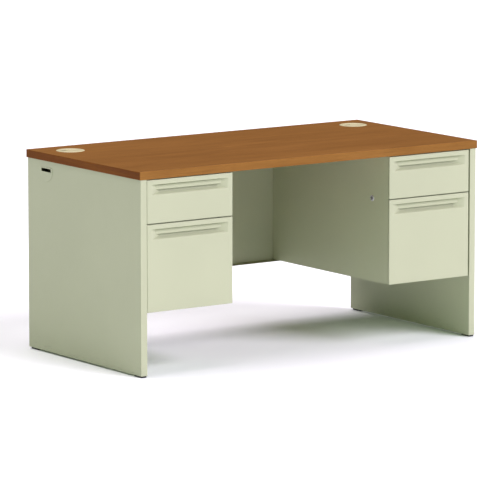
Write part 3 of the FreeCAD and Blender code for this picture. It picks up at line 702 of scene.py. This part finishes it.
# ---------------------------------------------------------------- screws
def solids_of(node):
    """The corner points of each separate solid in a CAD node."""
    bm = bmesh.new()
    bm.from_mesh(nodes[node].data)
    bmesh.ops.remove_doubles(bm, verts=bm.verts, dist=SAME_PLACE)
    bm.transform(nodes[node].matrix_world)
    bm.verts.index_update()
    seen, groups = set(), []
    for first in bm.verts:
        if first.index in seen:
            continue
        seen.add(first.index)
        queue, group = [first], []
        while queue:
            vert = queue.pop()
            group.append(vert.co.copy())
            for edge in vert.link_edges:
                other = edge.other_vert(vert)
                if other.index not in seen:
                    seen.add(other.index)
                    queue.append(other)
        groups.append(group)
    bm.free()
    return groups


# The head's section, out from the cross recess's floor, as shares of its radius and of its rise.
HEAD = ((0.0, 0.9), (0.3, 0.9), (0.34, 0.12), (0.62, 0.3), (0.86, 0.8), (0.98, 1.6))
HEAD_RISES = 2.6
# The core as a share of the head's radius, and the thread's root as a share of the core's.
CORE = 0.42
ROOT = 0.8
# A point is on the head if it is farther out than this share of the head's width.
WIDE = 0.4
SCREW_PITCH = 1.4 * MM


def pan_head(name, points):
    """A screw in the place of a CAD one: domed head with a cross recess, and a threaded shank."""
    low = Vector([min(p[k] for p in points) for k in range(3)])
    high = Vector([max(p[k] for p in points) for k in range(3)])
    size, middle = high - low, (low + high) / 2
    k = max(range(3), key=lambda i: size[i])
    width, length = size[(k + 1) % 3], size[k]
    wide = [p for p in points
            if (p - middle).length_squared - (p[k] - middle[k]) ** 2 > (WIDE * width) ** 2]
    at_low = sum(p[k] for p in wide) / len(wide) < middle[k]
    axis = Vector([0.0, 0.0, 0.0])
    axis[k] = 1.0 if at_low else -1.0
    start = middle.copy()
    start[k] = low[k] if at_low else high[k]
    seat = max(p[k] * axis[k] for p in wide) - start[k] * axis[k]
    r, rise = width / 2, seat / HEAD_RISES
    profile = [(r * across, rise * up) for across, up in HEAD]
    profile.append((r, seat))
    core = r * CORE
    profile.append((core, seat))
    h = seat + SCREW_PITCH
    while h < length - SCREW_PITCH:
        profile += [(core, h - SCREW_PITCH / 2), (core * ROOT, h)]
        h += SCREW_PITCH
    profile += [(core, length - SCREW_PITCH), (0.0, length)]
    return turned(name, profile, start, axis, steps=20, sharp=30.0)


def screws():
    """All the desk's screws. The first stands for the CAD node of them."""
    for k, points in enumerate(solids_of("screws")):
        screw = pan_head(f"screw_{k + 1}", points)
        attach(screw, "desk", "zinc_steel", ["screws"] if k == 0 else ())


# ---------------------------------------------------------------- assembly
for name in nodes:
    dress(name, material=PORT if name.endswith("cable_port") else None)
screws()
for side_name in SIDES:
    for level in ("box", "file"):
        drawer_front(side_name, level)
    grommet(side_name)
    lock(side_name)
    for place in ("front", "rear"):
        glide(side_name, place)


# ---------------------------------------------------------------- stage
FLOOR_REACH = 60.0
FLOOR_TONES = ((0.92, 0.99, 0.955, 1.0), (0.925, 0.995, 0.96, 1.0))
GLOW = (0.9, 0.95, 1.0, 1.0)
GLOW_STRENGTH = 0.015
# Each sun's direction, strength, width in degrees, and tint.
SUNS = {
    "key": ((-0.35, 0.75, -0.6), 3.2, 35.0, (0.93, 0.83, 1.0)),
    "top": ((0.1, -0.25, -1.0), 2.85, 60.0, (1.0, 0.875, 0.98)),
    "fill": ((0.6, 0.6, -0.6), 0.4, 50.0, (0.8, 1.0, 0.72)),
}
SKY = (0.95, 0.98, 1.0, 1.0)
SKY_STRENGTH = 0.02
# Far off with a long lens, looking a little down, and to the right of straight on.
CAMERA_PLACE = (-9.3214, -13.2841, 2.9014)
CAMERA_DOWN = 8.932
CAMERA_TURN = -35.012
CAMERA_LENS = 315.35
SENSOR = 36.0
CLIP = (0.5, 200.0)


def floor():
    """The pale studio floor."""
    mesh = bpy.data.meshes.new("floor")
    reach = FLOOR_REACH
    corners = [(-reach, -reach, 0), (reach, -reach, 0), (reach, reach, 0), (-reach, reach, 0)]
    mesh.from_pydata(corners, [], [(0, 1, 2, 3)])
    obj = bpy.data.objects.new("floor", mesh)
    scene.collection.objects.link(obj)
    g = Graph("studio_floor", Specular_IOR_Level=0.15, Emission_Color=GLOW, Emission_Strength=GLOW_STRENGTH)
    tone = g.noise(g.coords, 3.0, 2.0)
    g.colour(g.mix(g.span(tone, 0.3, 0.7, 0.0, 1.0), *FLOOR_TONES))
    g.rough(0.75)
    mesh.materials.append(g.material)


def sun(name, direction, strength, width, tint):
    data = bpy.data.lights.new(name, "SUN")
    data.energy, data.angle, data.color = strength, math.radians(width), tint
    obj = bpy.data.objects.new(name, data)
    obj.rotation_euler = Vector(direction).to_track_quat("-Z", "Y").to_euler()
    scene.collection.objects.link(obj)


def sky():
    """A faint even light from all round."""
    world = bpy.data.worlds.new("studio")
    world.use_nodes = True
    background = world.node_tree.nodes["Background"]
    background.inputs["Color"].default_value = SKY
    background.inputs["Strength"].default_value = SKY_STRENGTH
    scene.world = world


def add_camera():
    """The scene's camera."""
    data = bpy.data.cameras.new("camera")
    data.lens, data.sensor_width = CAMERA_LENS, SENSOR
    data.clip_start, data.clip_end = CLIP
    camera = bpy.data.objects.new("camera", data)
    camera.location = CAMERA_PLACE
    camera.rotation_euler = (math.radians(90.0 - CAMERA_DOWN), 0.0, math.radians(CAMERA_TURN))
    scene.collection.objects.link(camera)
    scene.camera = camera


floor()
for name, settings in SUNS.items():
    sun(name, *settings)
sky()
add_camera()
scene.view_settings.view_transform = "Standard"
scene.view_settings.look = "None"
